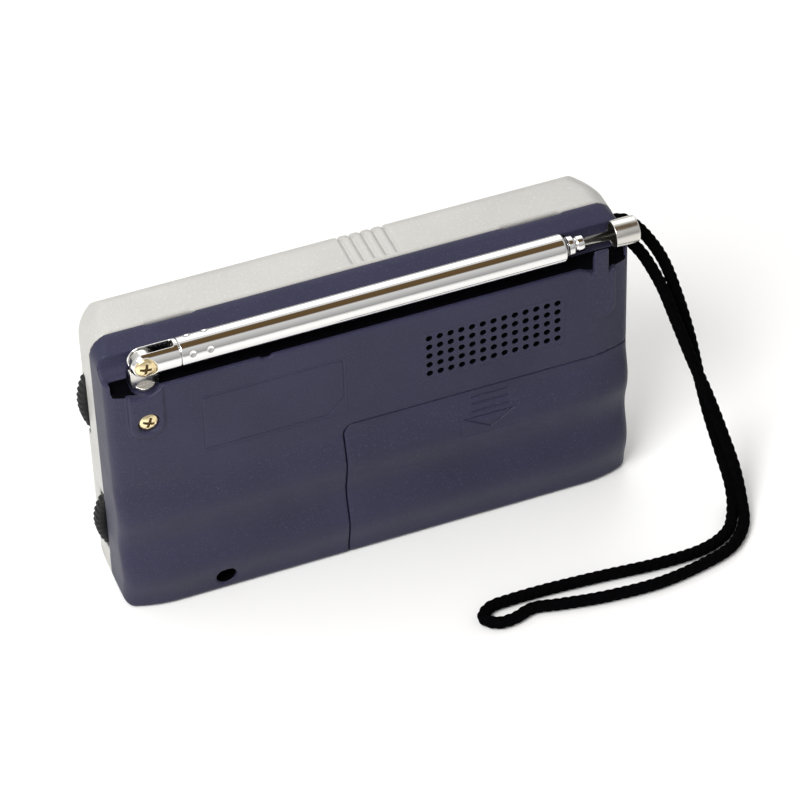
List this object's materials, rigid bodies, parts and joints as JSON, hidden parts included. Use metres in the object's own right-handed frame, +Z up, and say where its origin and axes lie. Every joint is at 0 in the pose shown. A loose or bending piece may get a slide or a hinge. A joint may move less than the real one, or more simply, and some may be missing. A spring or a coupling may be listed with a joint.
{
  "type": "shortwave receiver",
  "caption": "Pocket multiband receiver with a folding telescopic aerial, edge thumbwheels, slide-off battery cover and a braided wrist strap.",
  "frame": {"origin": "bottom centre of the standing set, on the surface it rests on", "axes": "+X towards the end with the thumbwheels and the aerial's hinge, +Y towards the back with the battery cover, +Z up; the dial faces -Y and the seam between the shells is the plane Y = 0"},
  "size_m": [0.1589, 0.0733, 0.0809],
  "materials": {
    "front_shell": "satin silver-grey moulding",
    "back_shell": "fine-grained navy moulding",
    "battery_door": "fine-grained navy moulding",
    "case_screws": "cross-head, worn plating",
    "speaker_grille": "perforated sheet, satin",
    "speaker_frame": "pressed steel",
    "speaker_cone": "black pressed paper",
    "speaker_magnet": "ferrite",
    "dial_window": "clear acrylic",
    "dial_plate": "printed scale",
    "dial_pointer": "red",
    "pointer_rail": "drawn wire",
    "dial_cord": "waxed thread",
    "tuning_wheel": "fine knurl",
    "tuning_shaft": "turned",
    "tuning_capacitor": "polystyrene case",
    "volume_wheel": "fine knurl",
    "volume_shaft": "turned",
    "volume_control": "plated can",
    "band_switch_knob": "ribbed cap",
    "band_switch_body": "moulded body",
    "power_switch_knob": "ribbed cap",
    "power_switch_body": "moulded body",
    "tuning_lamp": "red lens",
    "circuit_board": "solder resist",
    "board_screws": "plated",
    "ferrite_rod": "sintered ferrite",
    "ferrite_coil": "enamelled copper wire",
    "ferrite_holder": "nylon",
    "if_transformers": "drawn cans",
    "electrolytics": "sleeved",
    "chips": "moulded epoxy",
    "earphone_jack": "moulded",
    "dc_jack": "moulded, steel centre pin",
    "aa_cell_1": "plain printed jacket",
    "aa_cell_2": "plain printed jacket",
    "contact_plates": "nickel plated",
    "battery_springs": "nickel plated",
    "aerial_swivel": "plated, worn",
    "swivel_washer": "plated",
    "aerial_knuckle": "polished",
    "pivot_screw": "cross-head",
    "aerial_tube": "polished",
    "aerial_section_2": "polished",
    "aerial_section_3": "polished",
    "aerial_rod": "polished",
    "aerial_cap": "satin",
    "strap_knot": "knotted braid",
    "wrist_strap": "round braid"
  },
  "bodies": {
    "case": {"front_shell": "front_shell", "back_shell": "back_shell", "case_screws": "case_screws", "speaker_grille": "speaker_grille", "speaker_frame": "speaker_frame", "speaker_cone": "speaker_cone", "speaker_magnet": "speaker_magnet", "dial_window": "dial_window", "dial_plate": "dial_plate", "pointer_rail": "pointer_rail", "dial_cord": "dial_cord", "tuning_capacitor": "tuning_capacitor", "volume_control": "volume_control", "band_switch_body": "band_switch_body", "power_switch_body": "power_switch_body", "tuning_lamp": "tuning_lamp", "circuit_board": "circuit_board", "board_screws": "board_screws", "ferrite_rod": "ferrite_rod", "ferrite_coil": "ferrite_coil", "ferrite_holder": "ferrite_holder", "if_transformers": "if_transformers", "electrolytics": "electrolytics", "chips": "chips", "earphone_jack": "earphone_jack", "dc_jack": "dc_jack", "aa_cell_1": "aa_cell_1", "aa_cell_2": "aa_cell_2", "contact_plates": "contact_plates", "battery_springs": "battery_springs", "strap_knot": "strap_knot", "wrist_strap": "wrist_strap"},
    "battery_door": {"battery_door": "battery_door"},
    "tuning": {"tuning_wheel": "tuning_wheel", "tuning_shaft": "tuning_shaft"},
    "pointer": {"dial_pointer": "dial_pointer"},
    "volume": {"volume_wheel": "volume_wheel", "volume_shaft": "volume_shaft"},
    "band_switch": {"band_switch_knob": "band_switch_knob"},
    "power_switch": {"power_switch_knob": "power_switch_knob"},
    "swivel": {"aerial_swivel": "aerial_swivel", "swivel_washer": "swivel_washer"},
    "aerial_base": {"aerial_knuckle": "aerial_knuckle", "pivot_screw": "pivot_screw", "aerial_tube": "aerial_tube"},
    "section_2": {"aerial_section_2": "aerial_section_2"},
    "section_3": {"aerial_section_3": "aerial_section_3"},
    "rod": {"aerial_rod": "aerial_rod", "aerial_cap": "aerial_cap"}
  },
  "joints": [
    {"name": "battery_door_slide", "type": "slide", "parent": "case", "child": "battery_door", "axis": [0, 0, -1], "range_m": [0, 0.044]},
    {"name": "tuning_turn", "type": "hinge", "parent": "case", "child": "tuning", "pos_m": [0.0516, -0.0098, 0.0518], "axis": [0, 1, 0], "range_deg": [-110, 110]},
    {"name": "pointer_slide", "type": "slide", "parent": "case", "child": "pointer", "axis": [1, 0, 0], "range_m": [-0.0225, 0.0225]},
    {"name": "volume_turn", "type": "hinge", "parent": "case", "child": "volume", "pos_m": [0.0561, -0.0028, 0.0183], "axis": [0, 1, 0], "range_deg": [0, 270]},
    {"name": "band_switch_slide", "type": "slide", "parent": "case", "child": "band_switch", "axis": [1, 0, 0], "range_m": [0, 0.021]},
    {"name": "power_switch_slide", "type": "slide", "parent": "case", "child": "power_switch", "axis": [1, 0, 0], "range_m": [0, 0.005]},
    {"name": "aerial_swivel_turn", "type": "hinge", "parent": "case", "child": "swivel", "pos_m": [0.0572, 0.0102, 0.0773], "axis": [0, 0, 1], "range_deg": [-180, 0]},
    {"name": "aerial_tilt", "type": "hinge", "parent": "swivel", "child": "aerial_base", "pos_m": [0.0572, 0.0102, 0.0773], "axis": [0, 1, 0], "range_deg": [0, 180]},
    {"name": "section_2_slide", "type": "slide", "parent": "aerial_base", "child": "section_2", "axis": [-1, 0, 0], "range_m": [0, 0.092]},
    {"name": "section_3_slide", "type": "slide", "parent": "section_2", "child": "section_3", "axis": [-1, 0, 0], "range_m": [0, 0.092]},
    {"name": "rod_slide", "type": "slide", "parent": "section_3", "child": "rod", "axis": [-1, 0, 0], "range_m": [0, 0.092]}
  ],
  "couplings": [
    {"joint": "pointer_slide", "follows": "tuning_turn", "m_per_rad": 0.01164}
  ]
}
